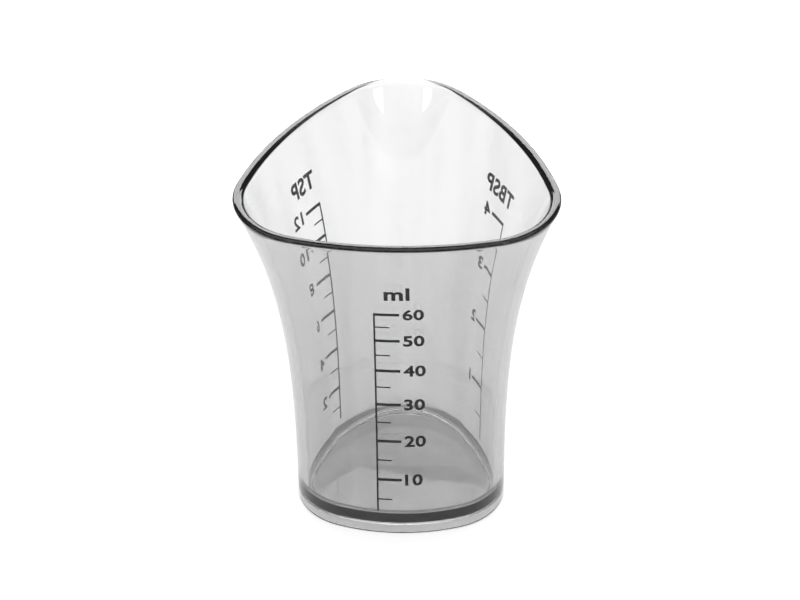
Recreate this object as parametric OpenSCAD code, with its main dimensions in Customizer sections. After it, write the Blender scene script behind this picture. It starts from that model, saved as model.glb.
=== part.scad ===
// Small clear measuring cup. Its section is a rounded triangle that flares from the foot to the rim.
// Origin: on the axis, in the plane that the foot stands on. +Z up, millimetres.
// One side faces -Y and carries the ml scale; one corner points along +Y.

/* [Size] */
// Height from the foot to the rim
height = 73; // [60:0.5:90]

/* [Rim section] */
// Axis to the middle of a side, at the rim
rim_side = 26.5; // [25:0.1:30]
// Axis to the tip of a corner, at the rim
rim_corner = 33.2; // [30:0.1:36]
// Radius of the corner bends, at the rim
rim_bend = 15.7; // [8:0.1:19]

/* [Foot section] */
// Axis to the middle of a side, at the foot
foot_side = 18.5; // [17.3:0.1:21]
// Axis to the tip of a corner, at the foot
foot_corner = 21.6; // [19.5:0.1:24]
// Radius of the corner bends, at the foot
foot_bend = 12.6; // [7:0.1:14]

/* [Flare] */
// Power of the flare: a higher one keeps the wall upright for longer
flare_power = 3; // [2:0.1:6]
// Share of the widening that is straight mould draft
draft_share = 0.06; // [0:0.01:0.5]

/* [Wall and floor] */
// Wall thickness at the foot
wall_foot = 2; // [1.5:0.1:3]
// Wall thickness at the rim
wall_rim = 2.1; // [1.7:0.1:2.6]
// Thickness of the floor
floor_t = 1.8; // [1:0.1:4]
// Depth of the hollow under the floor, inside the foot ring
foot_hollow = 1.8; // [0.6:0.1:4]
// Width of the foot ring that the cup stands on
foot_ring = 1.2; // [1:0.1:4]
// Radius between the wall and the floor, inside
floor_fillet = 1.8; // [0.5:0.1:3]
// Radius on both edges of the rim
rim_round = 0.7; // [0.2:0.05:0.8]
// Radius on the outer edge of the foot
foot_round = 0.4; // [0.2:0.05:0.8]

/* [Scales] */
// Highest mark, in millilitres
full_ml = 60; // [20:5:75]
// Half step between the numbered marks of the millilitre scale
half_step_ml = 5; // [2.5:2.5:10]
// One teaspoon, in millilitres
teaspoon_ml = 5; // [4.5:0.1:6]
// One tablespoon, in millilitres
tablespoon_ml = 15; // [14:0.1:20]
// Middle of the side to the left edge of the upright line, on the millilitre side
ml_line_x = -4.1; // [-8:0.1:-2]
// The same, on the teaspoon side
teaspoon_line_x = -4.4; // [-8:0.1:-2]
// The same, on the tablespoon side
tablespoon_line_x = -3.6; // [-8:0.1:-2]
// Length of a long mark, from the left edge of the line
long_mark = 4.9; // [4:0.1:7]
// Length of a short mark, from the left edge of the line
short_mark = 3; // [2:0.1:3.9]
// Width of the upright line
line_w = 0.35; // [0.3:0.05:0.8]
// Width of the long marks
long_w = 0.65; // [0.4:0.05:1]
// Width of the short marks
short_w = 0.3; // [0.2:0.05:0.6]
// Height of the line's lower end above the floor
line_rise = 2; // [0.5:0.1:3]
// Thickness of the printed ink
ink_t = 0.15; // [0.1:0.01:0.3]

/* [Hidden] */

CORNER_COUNT = 3;
TURN = 360 / CORNER_COUNT;  // from one corner to the next
HALF = TURN / 2;            // from a corner to the next side
ML_INDEX = 0;               // the sides are counted anticlockwise from the one that faces -Y
TABLESPOON_INDEX = 1;
TEASPOON_INDEX = 2;

CORNER_STEPS = 14;        // chords round one corner bend
SIDE_STEPS = 8;           // chords along one side
WALL_STEPS = 22;          // rings up the wall
EDGE_STEPS = 3;           // rings round a small edge radius
FILLET_STEPS = 4;         // rings round the floor's fillet
FILL_STEPS = 140;         // slices that the volume is summed over
MM3_PER_ML = 1000;

points_round = CORNER_COUNT * (CORNER_STEPS + SIDE_STEPS);
floor_z = foot_hollow + floor_t;
wall_low = foot_round;
wall_high = height - rim_round;
brim_clear = 2 * long_w;  // no mark comes closer to the rim than this
past_foot = foot_hollow;  // the cut for the hollow starts this far below the foot

// The section. It is made of three corner bends joined by three bowed sides, all tangent.

// Share of the way from the foot section to the rim section at height z
function flare(z) = let (u = max(z, 0) / height) draft_share * u + (1 - draft_share) * pow(u, flare_power);
function blend(low, high, z) = low + (high - low) * flare(z);

// [side reach, corner reach, bend radius] at height z, moved in from the outer face by inset
function section(z, inset) = [
    blend(foot_side, rim_side, z) - inset,
    blend(foot_corner, rim_corner, z) - inset,
    blend(foot_bend, rim_bend, z) - inset
];
function bend_centre(s) = s[1] - s[2];
// Distance that the centre of a side's bow lies behind the axis, seen from that side
function bow_centre(s) = let (a = bend_centre(s), d = s[0] - s[2]) (a * a - d * d) / (2 * d - a);
// Half the angle that a side's bow turns through
function bow_half(s) = let (a = bend_centre(s)) atan(a * sin(HALF) / (a * cos(HALF) + bow_centre(s)));

function polar(r, angle) = [r * cos(angle), r * sin(angle)];
function corner_angle(k) = k * TURN - HALF / 2;
function side_angle(k) = k * TURN - 90;

// One corner bend and the side after it, counted anticlockwise from the side that faces -Y
function bend_points(s, k) =
    let (middle = corner_angle(k), turn = HALF - bow_half(s), centre = polar(bend_centre(s), middle))
    [for (i = [0:CORNER_STEPS]) centre + polar(s[2], middle - turn + 2 * turn * i / CORNER_STEPS)];
function bow_points(s, k, first, last) =
    let (middle = side_angle(k), turn = bow_half(s), back = bow_centre(s), centre = polar(-back, middle))
    [for (i = [first:last]) centre + polar(back + s[0], middle - turn + 2 * turn * i / SIDE_STEPS)];
function outline(z, inset) = let (s = section(z, inset))
    [for (k = [0:CORNER_COUNT - 1]) each concat(bend_points(s, k), bow_points(s, k + 1, 1, SIDE_STEPS - 1))];

// The wall and its rings

function wall(z) = wall_foot + (wall_rim - wall_foot) * z / height;
// The inside face stands in from the outer face by the wall, and by the fillet near the floor
function fillet_inset(z) = let (up = max(floor_z + floor_fillet - z, 0))
    floor_fillet - sqrt(max(floor_fillet * floor_fillet - up * up, 0));
function inside_inset(z) = wall(z) + fillet_inset(z);

// Heights of the wall's rings: they lie closer where the flare bends most
function wall_z(i) = wall_low + (wall_high - wall_low) * pow(i / WALL_STEPS, 0.8);

// Each station is [height, inset]; together they follow the skin from the foot, over the rim, to the floor
foot_edge = [for (i = [0:EDGE_STEPS - 1]) let (a = 90 * i / EDGE_STEPS)
    [foot_round * (1 - cos(a)), foot_round * (1 - sin(a))]];
outer_wall = [for (i = [0:WALL_STEPS]) [wall_z(i), 0]];
rim_outer = [for (i = [1:EDGE_STEPS]) let (a = 90 * i / EDGE_STEPS)
    [wall_high + rim_round * sin(a), rim_round * (1 - cos(a))]];
rim_inner = [for (i = [EDGE_STEPS:-1:1]) let (a = 90 * i / EDGE_STEPS, z = wall_high + rim_round * sin(a))
    [z, wall(z) - rim_round * (1 - cos(a))]];
inner_wall = [for (i = [WALL_STEPS:-1:0]) let (z = wall_z(i)) if (z > floor_z + floor_fillet) [z, wall(z)]];
floor_edge = [for (i = [0:FILLET_STEPS]) let (z = floor_z + floor_fillet * (1 - sin(90 * i / FILLET_STEPS)))
    [z, inside_inset(z)]];
skin = concat(foot_edge, outer_wall, rim_outer, rim_inner, inner_wall, floor_edge);

// Points of one ring, and the faces of a grid of rows and columns of points
function lift(flat, z) = [for (p = flat) [p[0], p[1], z]];
function grid_faces(rows, cols, first = 0, closed = false, turned = false) =
    [for (r = [0:rows - 2], c = [0:cols - (closed ? 1 : 2)])
        let (a = first + r * cols + c, b = first + r * cols + (c + 1) % cols, up = cols)
        each turned ? [[a, b, b + up], [a, b + up, a + up]] : [[a, b + up, b], [a, a + up, b + up]]];

// The volume held below each height, summed from the floor

function ring_area(flat) = let (n = len(flat))
    [for (i = [0:n - 1]) cross(flat[i], flat[(i + 1) % n])] * [for (i = [0:n - 1]) 0.5];
slice = (height - floor_z) / FILL_STEPS;
inside_areas = [for (i = [0:FILL_STEPS]) let (z = floor_z + i * slice) ring_area(outline(z, inside_inset(z)))];
fill_table = [for (i = 0, v = 0; i <= FILL_STEPS;
    v = v + (inside_areas[i] + inside_areas[min(i + 1, FILL_STEPS)]) / 2 * slice / MM3_PER_ML, i = i + 1)
    [v, floor_z + i * slice]];
brim_ml = fill_table[FILL_STEPS][0];
function fill_z(ml) = lookup(ml, fill_table);

// The printed scales

// Marks of a scale with a long, numbered mark at every second step: [height, is it long]
function marks(step) = [for (i = [1:floor(full_ml / step)])
    let (z = fill_z(i * step)) if (i * step < brim_ml && z < wall_high - brim_clear) [z, i % 2 == 0]];

// A thin skin of ink over one whole side, seated on the flat facets of the outer wall
module ink_skin(side) {
    cols = SIDE_STEPS + 1;
    rows = len(outer_wall);
    layer = rows * cols;
    function side_points(out) = [for (st = outer_wall)
        each lift(bow_points(section(st[0], -out), side, 0, SIDE_STEPS), st[0])];
    last = layer - cols;
    edges = concat([for (c = [0:cols - 2]) each [
            [c, c + 1, layer + c + 1, layer + c],
            [last + c, layer + last + c, layer + last + c + 1, last + c + 1]]],
        [for (r = [0:rows - 2]) let (a = r * cols, b = a + cols - 1) each [
            [a, layer + a, layer + a + cols, a + cols],
            [b, b + cols, layer + b + cols, layer + b]]]);
    polyhedron(
        concat(side_points(0), side_points(ink_t)),
        concat(grid_faces(rows, cols, 0, turned = true), grid_faces(rows, cols, layer), edges),
        convexity = 4);
}

// One mark or line as a block that cuts right through the ink skin of the side facing -Y
module stroke(x, length, low, high) {
    translate([x, -2 * rim_corner, low]) cube([length, 2 * rim_corner, high - low]);
}

// Upright line with its marks to the right, as seen from outside
module graduation(side, step, line_x) {
    list = marks(step);
    intersection() {
        ink_skin(side);
        rotate(side * TURN) union() {
            stroke(line_x, line_w, floor_z + line_rise, list[len(list) - 1][0] + long_w / 2);
            for (m = list) let (w = m[1] ? long_w : short_w)
                stroke(line_x, m[1] ? long_mark : short_mark, m[0] - w / 2, m[0] + w / 2);
        }
    }
}

// The skin of rings, closed by a flat foot and by the floor
module vessel() {
    rings = len(skin);
    last = (rings - 1) * points_round;
    polyhedron(
        [for (st = skin) each lift(outline(st[0], st[1]), st[0])],
        concat([[for (i = [0:points_round - 1]) i]],
            grid_faces(rings, points_round, closed = true),
            [[for (i = [points_round - 1:-1:0]) last + i]]),
        convexity = 6);
}

// One moulding: the vessel, standing on the ring that the hollow under its floor leaves
module cup() {
    color([0.62, 0.62, 0.64, 0.45]) difference() {
        vessel();
        translate([0, 0, -past_foot]) linear_extrude(foot_hollow + past_foot) polygon(outline(0, foot_ring));
    }
}

module ml_scale() {
    color([0.1, 0.1, 0.1]) graduation(ML_INDEX, half_step_ml, ml_line_x);
}

module teaspoon_scale() {
    color([0.1, 0.1, 0.1]) graduation(TEASPOON_INDEX, teaspoon_ml, teaspoon_line_x);
}

module tablespoon_scale() {
    color([0.1, 0.1, 0.1]) graduation(TABLESPOON_INDEX, tablespoon_ml / 2, tablespoon_line_x);
}

cup();
ml_scale();
teaspoon_scale();
tablespoon_scale();
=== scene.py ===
# Small clear measuring cup with three printed scales, on a pale studio floor
import math

import bmesh
import bpy
from mathutils import Matrix, Vector


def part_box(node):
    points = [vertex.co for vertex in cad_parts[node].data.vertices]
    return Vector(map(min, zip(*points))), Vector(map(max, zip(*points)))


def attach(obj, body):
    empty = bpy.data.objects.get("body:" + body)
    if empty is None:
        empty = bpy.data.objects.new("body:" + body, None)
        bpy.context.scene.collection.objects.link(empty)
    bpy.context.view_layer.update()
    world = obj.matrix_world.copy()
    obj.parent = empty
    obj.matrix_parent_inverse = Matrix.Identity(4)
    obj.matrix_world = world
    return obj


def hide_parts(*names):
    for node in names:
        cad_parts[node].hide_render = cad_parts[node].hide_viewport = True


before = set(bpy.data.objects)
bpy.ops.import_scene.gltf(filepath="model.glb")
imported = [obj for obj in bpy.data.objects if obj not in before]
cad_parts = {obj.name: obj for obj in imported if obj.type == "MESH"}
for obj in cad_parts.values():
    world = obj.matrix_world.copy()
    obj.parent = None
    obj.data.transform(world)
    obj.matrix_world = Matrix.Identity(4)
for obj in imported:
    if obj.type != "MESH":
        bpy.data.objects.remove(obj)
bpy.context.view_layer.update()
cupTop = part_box("cup")[1].z
print("frame loaded:", ", ".join(sorted(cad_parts)))


# The cup's own form. Each section is (axis to the middle of a side, axis to the tip of a corner,
# radius of the corner bends), and the flare leads from the foot's to the rim's.
cupForm = {
    "footSection": (0.0185, 0.0216, 0.0126),
    "rimSection": (0.0265, 0.0332, 0.0157),
    "flarePower": 3.0,
    "draftShare": 0.06,
    "footWall": 0.0020,
    "rimWall": 0.0021,
    "floorThickness": 0.0018,
    "footHollow": 0.0018,     # depth of the hollow under the floor
    "footRing": 0.0012,       # width of the ring that the cup stands on
    "footRound": 0.0004,
    "ringRound": 0.0004,      # inner edge of the foot ring, which curves from there to the underside
    "rimRound": 0.0007,
    "floorFillet": 0.0018,
    "bendSteps": 30,          # faces round one corner bend
    "sideSteps": 30,          # faces along one side
    "wallSteps": 56,          # faces up the wall
    "climbPower": 0.8,        # below 1, so that they are shorter towards the rim
    "edgeSteps": 8,           # faces round a small edge
}
cornerCount = 3
thirdTurn = math.tau / cornerCount
firstCorner = math.radians(-30)
floorTop = cupForm["footHollow"] + cupForm["floorThickness"]


def flareShare(height):
    up = min(max(height / cupTop, 0.0), 1.0)
    straight = cupForm["draftShare"]
    return straight * up + (1 - straight) * up ** cupForm["flarePower"]


def sectionAt(height, inset=0.0):
    share = flareShare(height)
    pairs = zip(cupForm["footSection"], cupForm["rimSection"])
    return [foot + (rim - foot) * share - inset for foot, rim in pairs]


def wallAt(height):
    return cupForm["footWall"] + (cupForm["rimWall"] - cupForm["footWall"]) * height / cupTop


# A section's corner bends are centred bendReach from the axis, and its bowed sides bowBack behind it
def bowOf(section):
    side, corner, bend = section
    bendReach = corner - bend
    sideReach = side - bend
    bowBack = (bendReach ** 2 - sideReach ** 2) / (2 * sideReach - bendReach)
    bendCentre = Vector((bendReach * math.cos(thirdTurn / 2), bendReach * math.sin(thirdTurn / 2)))
    halfBow = math.atan2(bendCentre.y, bendCentre.x + bowBack)
    return bendReach, bowBack, halfBow


def polar(radius, angle):
    return Vector((radius * math.cos(angle), radius * math.sin(angle), 0))


def ringPoints(height, inset):
    section = sectionAt(height, inset)
    side, _, bend = section
    bendReach, bowBack, halfBow = bowOf(section)
    halfBend = thirdTurn / 2 - halfBow
    points = []
    for k in range(cornerCount):
        cornerAngle = k * thirdTurn + firstCorner
        sideAngle = cornerAngle + thirdTurn / 2
        for i in range(cupForm["bendSteps"]):
            turn = halfBend * (2 * i / cupForm["bendSteps"] - 1)
            points.append(polar(bendReach, cornerAngle) + polar(bend, cornerAngle + turn))
        for i in range(cupForm["sideSteps"]):
            turn = halfBow * (2 * i / cupForm["sideSteps"] - 1)
            points.append(polar(bowBack + side, sideAngle + turn) - polar(bowBack, sideAngle))
    return [p + Vector((0, 0, height)) for p in points]


# Stations of a round edge, as (height, inset), from the angle start to end. Angles are in degrees, with
# 0 outwards and 90 up, and inset is measured inwards from the outer face.
def edgeStations(height, inset, radius, start, end):
    steps = cupForm["edgeSteps"]
    turns = [math.radians(start + (end - start) * i / steps) for i in range(steps + 1)]
    return [(height + radius * math.sin(t), inset - radius * math.cos(t)) for t in turns]


# The skin from the middle of the underside, round the foot, up and over the rim and down to the floor
def skinStations():
    form = cupForm
    wallLow = form["footRound"]
    wallHigh = cupTop - form["rimRound"]
    climbs = [(i / form["wallSteps"]) ** form["climbPower"] for i in range(form["wallSteps"] + 1)]
    heights = [wallLow + (wallHigh - wallLow) * climb for climb in climbs]
    filletTop = floorTop + form["floorFillet"]
    hollowRound = form["footHollow"] - form["ringRound"]
    stations = edgeStations(form["ringRound"], form["footRing"] + hollowRound, hollowRound, 90, 0)
    inset = form["footRing"] - form["ringRound"]
    stations += edgeStations(form["ringRound"], inset, form["ringRound"], 180, 270)[1:]
    stations += edgeStations(form["footRound"], form["footRound"], form["footRound"], -90, 0)
    stations += [(h, 0.0) for h in heights[1:]]
    stations += edgeStations(wallHigh, form["rimRound"], form["rimRound"], 0, 90)[1:]
    stations += edgeStations(wallHigh, wallAt(wallHigh) - form["rimRound"], form["rimRound"], 90, 180)
    stations += [(h, wallAt(h)) for h in reversed(heights[:-1]) if h > filletTop]
    inset = wallAt(filletTop) + form["floorFillet"]
    stations += edgeStations(filletTop, inset, form["floorFillet"], 0, -90)
    return stations


def finishMesh(name, bm, material, slotName, *nodes):
    bmesh.ops.recalc_face_normals(bm, faces=bm.faces)
    mesh = bpy.data.meshes.new(name)
    bm.to_mesh(mesh)
    bm.free()
    mesh.shade_smooth()
    mesh.materials.append(material)
    piece = bpy.data.objects.new(name, mesh)
    bpy.context.scene.collection.objects.link(piece)
    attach(piece, "root")
    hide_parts(*nodes)
    print(name, "made:", len(mesh.polygons), "faces")


# A straight tube of rings, one for each station, is drawn up first and then shaped ring by ring
def makeCup(material):
    stations = skinStations()
    rings = [ringPoints(height, inset) for height, inset in stations]
    pointsRound = len(rings[0])
    bm = bmesh.new()
    bmesh.ops.create_circle(bm, cap_ends=False, segments=pointsRound, radius=1)
    ringLayer = bm.verts.layers.int.new("ring")
    placeLayer = bm.verts.layers.int.new("place")
    bm.verts.ensure_lookup_table()
    for vert in bm.verts:
        vert[placeLayer] = round(math.atan2(vert.co.y, vert.co.x) / math.tau * pointsRound) % pointsRound
    firstRing = bm.edges[:]
    topRing = firstRing
    for k in range(1, len(stations)):
        drawn = bmesh.ops.extrude_edge_only(bm, edges=topRing)["geom"]
        for vert in (item for item in drawn if isinstance(item, bmesh.types.BMVert)):
            vert[ringLayer] = k
        topRing = [item for item in drawn if isinstance(item, bmesh.types.BMEdge)]
    bmesh.ops.contextual_create(bm, geom=firstRing)
    bmesh.ops.contextual_create(bm, geom=topRing)
    for vert in bm.verts:
        vert.co = rings[vert[ringLayer]][vert[placeLayer]]
    finishMesh("clear_cup", bm, material, "clear_plastic", "cup")


# Where the print lies: across is the plan distance to the right of the side's middle, seen from
# outside, and raised is how far the point stands proud of the wall
def wallPoint(sideIndex, across, height, raised):
    section = sectionAt(height)
    side = section[0]
    bowBack = bowOf(section)[1]
    out = math.sqrt((side + bowBack + raised) ** 2 - across ** 2) - bowBack
    return Matrix.Rotation(sideIndex * thirdTurn, 3, "Z") @ Vector((across, -out, height))


fillSlices = 200
millilitresPerCubicMetre = 1e6


# The volume in millilitres below each height, summed from the floor in thin slices
def fillTable():
    step = (cupTop - floorTop) / fillSlices
    table = []
    volume = 0.0
    last = 0.0
    for i in range(fillSlices + 1):
        height = floorTop + i * step
        up = max(floorTop + cupForm["floorFillet"] - height, 0.0)
        fillet = cupForm["floorFillet"] - math.sqrt(max(cupForm["floorFillet"] ** 2 - up ** 2, 0.0))
        ring = ringPoints(height, wallAt(height) + fillet)
        area = sum(a.x * b.y - a.y * b.x for a, b in zip(ring, ring[1:] + ring[:1])) / 2
        volume += (area + last) / 2 * step if i else 0.0
        last = area
        table.append((volume * millilitresPerCubicMetre, height))
    return table


def fillHeight(millilitres, table):
    for (lowVolume, lowHeight), (highVolume, highHeight) in zip(table, table[1:]):
        if highVolume >= millilitres:
            share = (millilitres - lowVolume) / (highVolume - lowVolume)
            return lowHeight + (highHeight - lowHeight) * share
    return cupTop


# What is printed on each side. Half steps are in millilitres; the numerals count the full steps.
# Places to the right are from the line's left edge, and a heading's rise is from the top mark.
printForm = {
    "lineWidth": 0.00035,
    "longWidth": 0.00065,
    "shortWidth": 0.0003,
    "longMark": 0.0049,       # from the line's left edge
    "shortMark": 0.0030,
    "lineRise": 0.0020,       # the line's lower end above the floor
    "fullVolume": 60,
    "numeralHeight": 0.0028,
    "numeralStretch": 1.09,   # the numerals are wider than the font's
    "letterWeight": 0.03,     # and bolder by this share of their size on each side
    "letterSpacing": 1.05,
    "letterSteps": 6,         # how finely the font's curves are divided
    "letterMerge": 1e-5,      # points this close in a letter are one, in the font's own units
    "cornerLimit": 0.5,       # keeps sharp corners from moving out too far; smaller lets them go further
    "sunk": 0.00003,          # how far the ink lies in the surface
    "raised": 0.00002,        # and stands proud of it
    "cut": 0.0006,            # widest facet, so that the ink follows the wall
    "merge": 1e-7,            # points this close are one
    "sliver": 0.000003,       # facets narrower than this are taken out
}
scales = [
    {"name": "millilitre_print", "node": "ml_scale", "side": 0, "lineLeft": -0.0041,
     "halfStep": 5, "fullStep": 10, "numeralLeft": 0.0055, "heading": "ml",
     "headingHeight": 0.0034, "headingStretch": 1.1, "headingRise": 0.0038, "headingLeft": 0.0021},
    {"name": "teaspoon_print", "node": "teaspoon_scale", "side": 2, "lineLeft": -0.0044,
     "halfStep": 5, "fullStep": 2, "numeralLeft": 0.0061, "heading": "TSP",
     "headingHeight": 0.0036, "headingStretch": 0.98, "headingRise": 0.0039, "headingLeft": 0.0003},
    {"name": "tablespoon_print", "node": "tablespoon_scale", "side": 1, "lineLeft": -0.0036,
     "halfStep": 7.5, "fullStep": 1, "numeralLeft": 0.0056, "heading": "TBSP",
     "headingHeight": 0.0034, "headingStretch": 1.05, "headingRise": 0.0037, "headingLeft": -0.0017},
]


def flatStroke(bm, left, right, low, high):
    corners = ((left, low), (right, low), (right, high), (left, high))
    bm.faces.new([bm.verts.new((x, y, 0)) for x, y in corners])


def cutAll(bm, point, normal):
    bmesh.ops.bisect_plane(bm, geom=bm.verts[:] + bm.edges[:] + bm.faces[:], dist=printForm["merge"],
                           plane_co=point, plane_no=normal)


# Moves the outline of flat letters outwards, so that they are bolder
def embolden(bm, weight):
    moves = {}
    for vert in bm.verts:
        normals = []
        for edge in (e for e in vert.link_edges if e.is_boundary):
            loop = edge.link_loops[0]
            along = loop.link_loop_next.vert.co - loop.vert.co
            normals.append(Vector((along.y, -along.x, 0)).normalized())
        if len(normals) == 2:
            opening = max(1 + normals[0].dot(normals[1]), printForm["cornerLimit"])
            moves[vert] = (normals[0] + normals[1]) * weight / opening
    for vert, move in moves.items():
        vert.co += move


# Letters lie flat, from left on, with their middle at the given level
def flatLetters(bm, words, left, level, height, stretch):
    curve = bpy.data.curves.new("letters", "FONT")
    curve.body = words
    curve.resolution_u = printForm["letterSteps"]
    curve.space_character = printForm["letterSpacing"]
    holder = bpy.data.objects.new("letters", curve)
    bpy.context.scene.collection.objects.link(holder)
    bpy.context.view_layer.update()
    evaluated = holder.evaluated_get(bpy.context.evaluated_depsgraph_get())
    mesh = bpy.data.meshes.new_from_object(evaluated)
    letters = bmesh.new()
    letters.from_mesh(mesh)
    bmesh.ops.remove_doubles(letters, verts=letters.verts, dist=printForm["letterMerge"])
    bmesh.ops.recalc_face_normals(letters, faces=letters.faces)
    if letters.faces[:][0].normal.z < 0:
        bmesh.ops.reverse_faces(letters, faces=letters.faces)
    embolden(letters, printForm["letterWeight"])
    low = min(v.co.y for v in letters.verts)
    high = max(v.co.y for v in letters.verts)
    first = min(v.co.x for v in letters.verts)
    size = height / (high - low)
    toOrigin = Matrix.Translation((-first, -(low + high) / 2, 0))
    stretched = Matrix.Diagonal((size * stretch, size, 1, 1))
    place = Matrix.Translation((left, level, 0)) @ stretched @ toOrigin
    bmesh.ops.transform(letters, verts=letters.verts, matrix=place)
    letters.to_mesh(mesh)
    letters.free()
    bm.from_mesh(mesh)
    bpy.data.objects.remove(holder)
    bpy.data.curves.remove(curve)
    bpy.data.meshes.remove(mesh)


# The line, marks, numerals and heading are drawn flat, cut into small facets and laid on the wall.
# Every second mark is long and has a numeral.
def makePrint(scale, table, material):
    form = printForm
    left = scale["lineLeft"]
    steps = int(form["fullVolume"] / scale["halfStep"])
    marks = [fillHeight((i + 1) * scale["halfStep"], table) for i in range(steps)]
    bm = bmesh.new()
    cuts = []
    top = marks[-1] + form["longWidth"] / 2
    flatStroke(bm, left, left + form["lineWidth"], floorTop + form["lineRise"], top)
    for i, height in enumerate(marks):
        isLong = i % 2 == 1
        width = form["longWidth"] if isLong else form["shortWidth"]
        reach = form["longMark"] if isLong else form["shortMark"]
        flatStroke(bm, left + form["lineWidth"], left + reach, height - width / 2, height + width / 2)
        cuts += [height - width / 2, height + width / 2]
    for height in cuts:
        cutAll(bm, (0, height, 0), (0, 1, 0))
    bmesh.ops.remove_doubles(bm, verts=bm.verts, dist=form["merge"])
    for i, height in enumerate(marks[1::2]):
        flatLetters(bm, str((i + 1) * scale["fullStep"]), left + scale["numeralLeft"], height,
                    form["numeralHeight"], form["numeralStretch"])
    headingLevel = marks[-1] + scale["headingRise"] + scale["headingHeight"] / 2
    flatLetters(bm, scale["heading"], left + scale["headingLeft"], headingLevel,
                scale["headingHeight"], scale["headingStretch"])
    reach = max(v.co.x for v in bm.verts)
    rise = max(v.co.y for v in bm.verts)
    for i in range(1, int((reach - left) / form["cut"]) + 1):
        cutAll(bm, (left + i * form["cut"], 0, 0), (1, 0, 0))
    for i in range(1, int(rise / form["cut"]) + 1):
        cutAll(bm, (0, i * form["cut"], 0), (0, 1, 0))
    bmesh.ops.dissolve_degenerate(bm, edges=bm.edges, dist=form["sliver"])
    sheet = bm.faces[:]
    lifted = bmesh.ops.extrude_face_region(bm, geom=sheet)["geom"]
    upper = {item for item in lifted if isinstance(item, bmesh.types.BMVert)}
    for vert in bm.verts:
        raised = form["raised"] if vert in upper else -form["sunk"]
        vert.co = wallPoint(scale["side"], vert.co.x, vert.co.y, raised)
    finishMesh(scale["name"], bm, material, "printed_ink", scale["node"])


# Each mottling in the materials below is (scale per metre, stretch, detail, low, high)
mottleInputs = {"Scale": "Float", "Stretch": "Vector", "Detail": "Float", "Low": "Float", "High": "Float"}
noiseSpan = (0.3, 0.7)         # the part of the noise that goes from low to high


# Soft mottling, the same kind in every material: a noise that goes from low to high over the surface,
# drawn out along an axis where its stretch is small
def makeMottle():
    group = bpy.data.node_groups.new("mottle", "ShaderNodeTree")
    for name, kind in mottleInputs.items():
        group.interface.new_socket(name=name, in_out="INPUT", socket_type="NodeSocket" + kind)
    group.interface.new_socket(name="Value", in_out="OUTPUT", socket_type="NodeSocketFloat")
    nodes = group.nodes
    links = group.links
    given = nodes.new("NodeGroupInput")
    result = nodes.new("NodeGroupOutput")
    place = nodes.new("ShaderNodeTexCoord")
    drawn = nodes.new("ShaderNodeVectorMath")
    drawn.operation = "MULTIPLY"
    noise = nodes.new("ShaderNodeTexNoise")
    span = nodes.new("ShaderNodeMapRange")
    span.interpolation_type = "SMOOTHSTEP"
    span.inputs["From Min"].default_value, span.inputs["From Max"].default_value = noiseSpan
    links.new(place.outputs["Object"], drawn.inputs[0])
    links.new(given.outputs["Stretch"], drawn.inputs[1])
    links.new(drawn.outputs["Vector"], noise.inputs["Vector"])
    links.new(given.outputs["Scale"], noise.inputs["Scale"])
    links.new(given.outputs["Detail"], noise.inputs["Detail"])
    links.new(noise.outputs["Fac"], span.inputs["Value"])
    links.new(given.outputs["Low"], span.inputs["To Min"])
    links.new(given.outputs["High"], span.inputs["To Max"])
    links.new(span.outputs["Result"], result.inputs["Value"])
    return group


def addMottle(material, group, values):
    node = material.node_tree.nodes.new("ShaderNodeGroup")
    node.node_tree = group
    for name, value in zip(mottleInputs, values):
        node.inputs[name].default_value = value
    return node.outputs["Value"]


# Depth is in metres
def addRipple(material, group, values, depth):
    bump = material.node_tree.nodes.new("ShaderNodeBump")
    bump.inputs["Distance"].default_value = depth
    material.node_tree.links.new(addMottle(material, group, values), bump.inputs["Height"])
    shader = material.node_tree.nodes["Principled BSDF"]
    material.node_tree.links.new(bump.outputs["Normal"], shader.inputs["Normal"])


# Clear plastic with a smoke-grey tint. The tint varies in upright flow lines, the polish is slightly
# uneven, and the surface is rippled by the moulding.
plasticFinish = {
    "ior": 1.57,
    "smoke": 182.0,            # absorption per metre
    "flow": (150.0, (1, 1, 0.08), 2.0, 0.92, 1.0),
    "haze": (45.0, (1, 1, 0.5), 2.0, 0.0, 0.03),
    "ripple": (70.0, (1, 1, 0.4), 0.0, 0.0, 1.0),
    "rippleDepth": 0.00001,
}


def makeSmokePlastic(group):
    material = bpy.data.materials.new("smoke_clear_plastic")
    material.use_nodes = True
    nodes = material.node_tree.nodes
    links = material.node_tree.links
    shader = nodes["Principled BSDF"]
    shader.inputs["IOR"].default_value = plasticFinish["ior"]
    shader.inputs["Transmission Weight"].default_value = 1.0
    links.new(addMottle(material, group, plasticFinish["flow"]), shader.inputs["Base Color"])
    links.new(addMottle(material, group, plasticFinish["haze"]), shader.inputs["Roughness"])
    addRipple(material, group, plasticFinish["ripple"], plasticFinish["rippleDepth"])
    tint = nodes.new("ShaderNodeVolumeAbsorption")
    tint.inputs["Color"].default_value = (0.0, 0.0, 0.0, 1)
    tint.inputs["Density"].default_value = plasticFinish["smoke"]
    links.new(tint.outputs["Volume"], nodes["Material Output"].inputs["Volume"])
    return material


# Screen-printed ink: nearly black, a little thinner in places, with a fine dry grain
inkFinish = {
    "tone": (700.0, (1, 1, 1), 3.0, 0.010, 0.030),
    "sheen": (1500.0, (1, 1, 1), 3.0, 0.38, 0.62),
    "grain": (4000.0, (1, 1, 1), 3.0, 0.0, 1.0),
    "grainDepth": 0.000006,
    "specular": 0.15,
}


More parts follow.
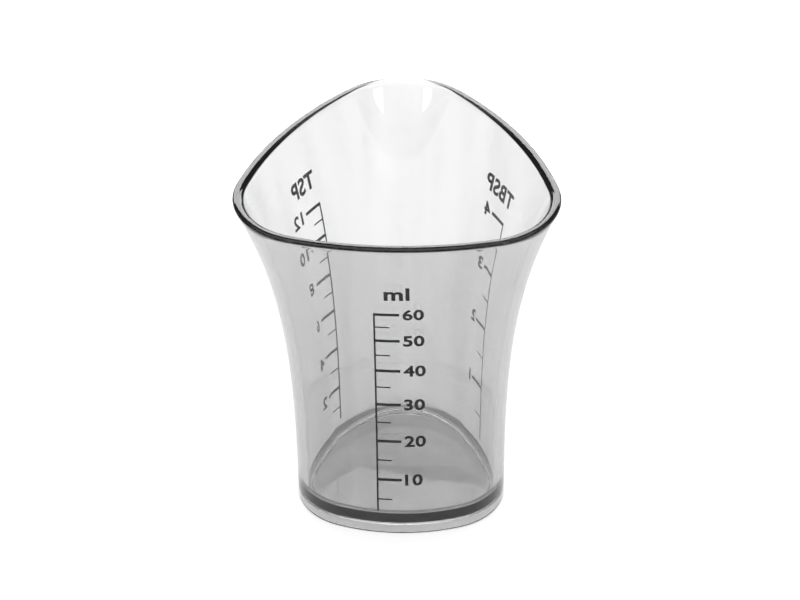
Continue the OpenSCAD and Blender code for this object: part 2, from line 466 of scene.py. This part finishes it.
def makeInk(group):
    material = bpy.data.materials.new("black_ink")
    material.use_nodes = True
    links = material.node_tree.links
    shader = material.node_tree.nodes["Principled BSDF"]
    shader.inputs["Specular IOR Level"].default_value = inkFinish["specular"]
    links.new(addMottle(material, group, inkFinish["tone"]), shader.inputs["Base Color"])
    links.new(addMottle(material, group, inkFinish["sheen"]), shader.inputs["Roughness"])
    addRipple(material, group, inkFinish["grain"], inkFinish["grainDepth"])
    return material


# A bright ceiling lights the cup, the studio around is dim, and softboxes stand at the front left, at
# the front right and behind. The table is a pale sheet, softly lit from below.
studio = {
    "overhead": 1.4,
    "around": 0.2,
    "softEdge": (0.64, 0.82),  # sine of the elevation where the overhead light starts and is full
    "boxDistance": 1.3,
    "floorReach": 3,           # from its middle to its edges
    "floorColor": 0.95,
    "floorRoughness": 0.9,
    "floorGlow": 0.46,
}
# Azimuths are in degrees, from the front to the right
softboxes = [
    {"name": "softbox_left", "azimuth": -37, "height": 0.37, "size": (0.22, 0.25), "power": 2.2},
    {"name": "softbox_right", "azimuth": 37, "height": 0.37, "size": (0.22, 0.25), "power": 2.2},
    {"name": "softbox_back", "azimuth": 180, "height": 0.687, "size": (1.3, 0.5), "power": 11.0},
]


def makeSoftbox(softbox):
    light = bpy.data.lights.new(softbox["name"], "AREA")
    light.shape = "RECTANGLE"
    light.size, light.size_y = softbox["size"]
    light.energy = softbox["power"]
    box = bpy.data.objects.new(softbox["name"], light)
    bpy.context.scene.collection.objects.link(box)
    turn = math.radians(softbox["azimuth"])
    place = Vector((math.sin(turn), -math.cos(turn), 0)) * studio["boxDistance"]
    place.z = softbox["height"]
    box.matrix_world = Matrix.Translation(place) @ (-place).to_track_quat("-Z", "Y").to_matrix().to_4x4()


def makeStage():
    mesh = bpy.data.meshes.new("floor")
    bm = bmesh.new()
    bmesh.ops.create_grid(bm, x_segments=1, y_segments=1, size=studio["floorReach"])
    bm.to_mesh(mesh)
    bm.free()
    material = bpy.data.materials.new("pale_floor")
    material.use_nodes = True
    shader = material.node_tree.nodes["Principled BSDF"]
    pale = studio["floorColor"]
    shader.inputs["Base Color"].default_value = (pale, pale, pale, 1)
    shader.inputs["Roughness"].default_value = studio["floorRoughness"]
    shader.inputs["Specular IOR Level"].default_value = 0.0
    shader.inputs["Emission Color"].default_value = (1, 1, 1, 1)
    shader.inputs["Emission Strength"].default_value = studio["floorGlow"]
    mesh.materials.append(material)
    floor = bpy.data.objects.new("floor", mesh)
    bpy.context.scene.collection.objects.link(floor)

    world = bpy.data.worlds.new("studio")
    bpy.context.scene.world = world
    world.use_nodes = True
    nodes = world.node_tree.nodes
    links = world.node_tree.links
    direction = nodes.new("ShaderNodeTexCoord")
    parts = nodes.new("ShaderNodeSeparateXYZ")
    fade = nodes.new("ShaderNodeMapRange")
    fade.interpolation_type = "SMOOTHSTEP"
    fade.inputs["From Min"].default_value, fade.inputs["From Max"].default_value = studio["softEdge"]
    fade.inputs["To Min"].default_value = studio["around"]
    fade.inputs["To Max"].default_value = studio["overhead"]
    links.new(direction.outputs["Generated"], parts.inputs["Vector"])
    links.new(parts.outputs["Z"], fade.inputs["Value"])
    links.new(fade.outputs["Result"], nodes["Background"].inputs["Strength"])
    nodes["Background"].inputs["Color"].default_value = (1, 1, 1, 1)
    for softbox in softboxes:
        makeSoftbox(softbox)
    bpy.context.scene.view_settings.view_transform = "Standard"
    print("stage made")


# Where the photograph was taken from. Angles are in degrees, lens and sensor in millimetres.
photoView = {
    "azimuth": 2.554,
    "elevation": 36.58,
    "distance": 0.700,
    "aimHeight": 0.030,
    "lens": 161.7,
    "sensorWidth": 36,
    "clip": (0.01, 20),
    "tiltUp": 0.864,
    "roll": -0.66,
}


def makeCamera():
    view = photoView
    azimuth = math.radians(view["azimuth"])
    elevation = math.radians(view["elevation"])
    back = Vector((math.sin(azimuth) * math.cos(elevation), -math.cos(azimuth) * math.cos(elevation),
                   math.sin(elevation)))
    camera = bpy.data.objects.new("camera", bpy.data.cameras.new("camera"))
    camera.data.lens = view["lens"]
    camera.data.sensor_width = view["sensorWidth"]
    place = Matrix.Translation(Vector((0, 0, view["aimHeight"])) + back * view["distance"])
    look = (-back).to_track_quat("-Z", "Y").to_matrix().to_4x4()
    tilt = Matrix.Rotation(math.radians(view["tiltUp"]), 4, "X")
    roll = Matrix.Rotation(math.radians(view["roll"]), 4, "Z")
    camera.matrix_world = place @ look @ tilt @ roll
    camera.data.clip_start, camera.data.clip_end = view["clip"]
    bpy.context.scene.collection.objects.link(camera)
    bpy.context.scene.camera = camera
    print("camera set")


makeCamera()
makeStage()
mottle = makeMottle()
smokePlastic = makeSmokePlastic(mottle)
blackInk = makeInk(mottle)
makeCup(smokePlastic)
volumes = fillTable()
for scale in scales:
    makePrint(scale, volumes, blackInk)
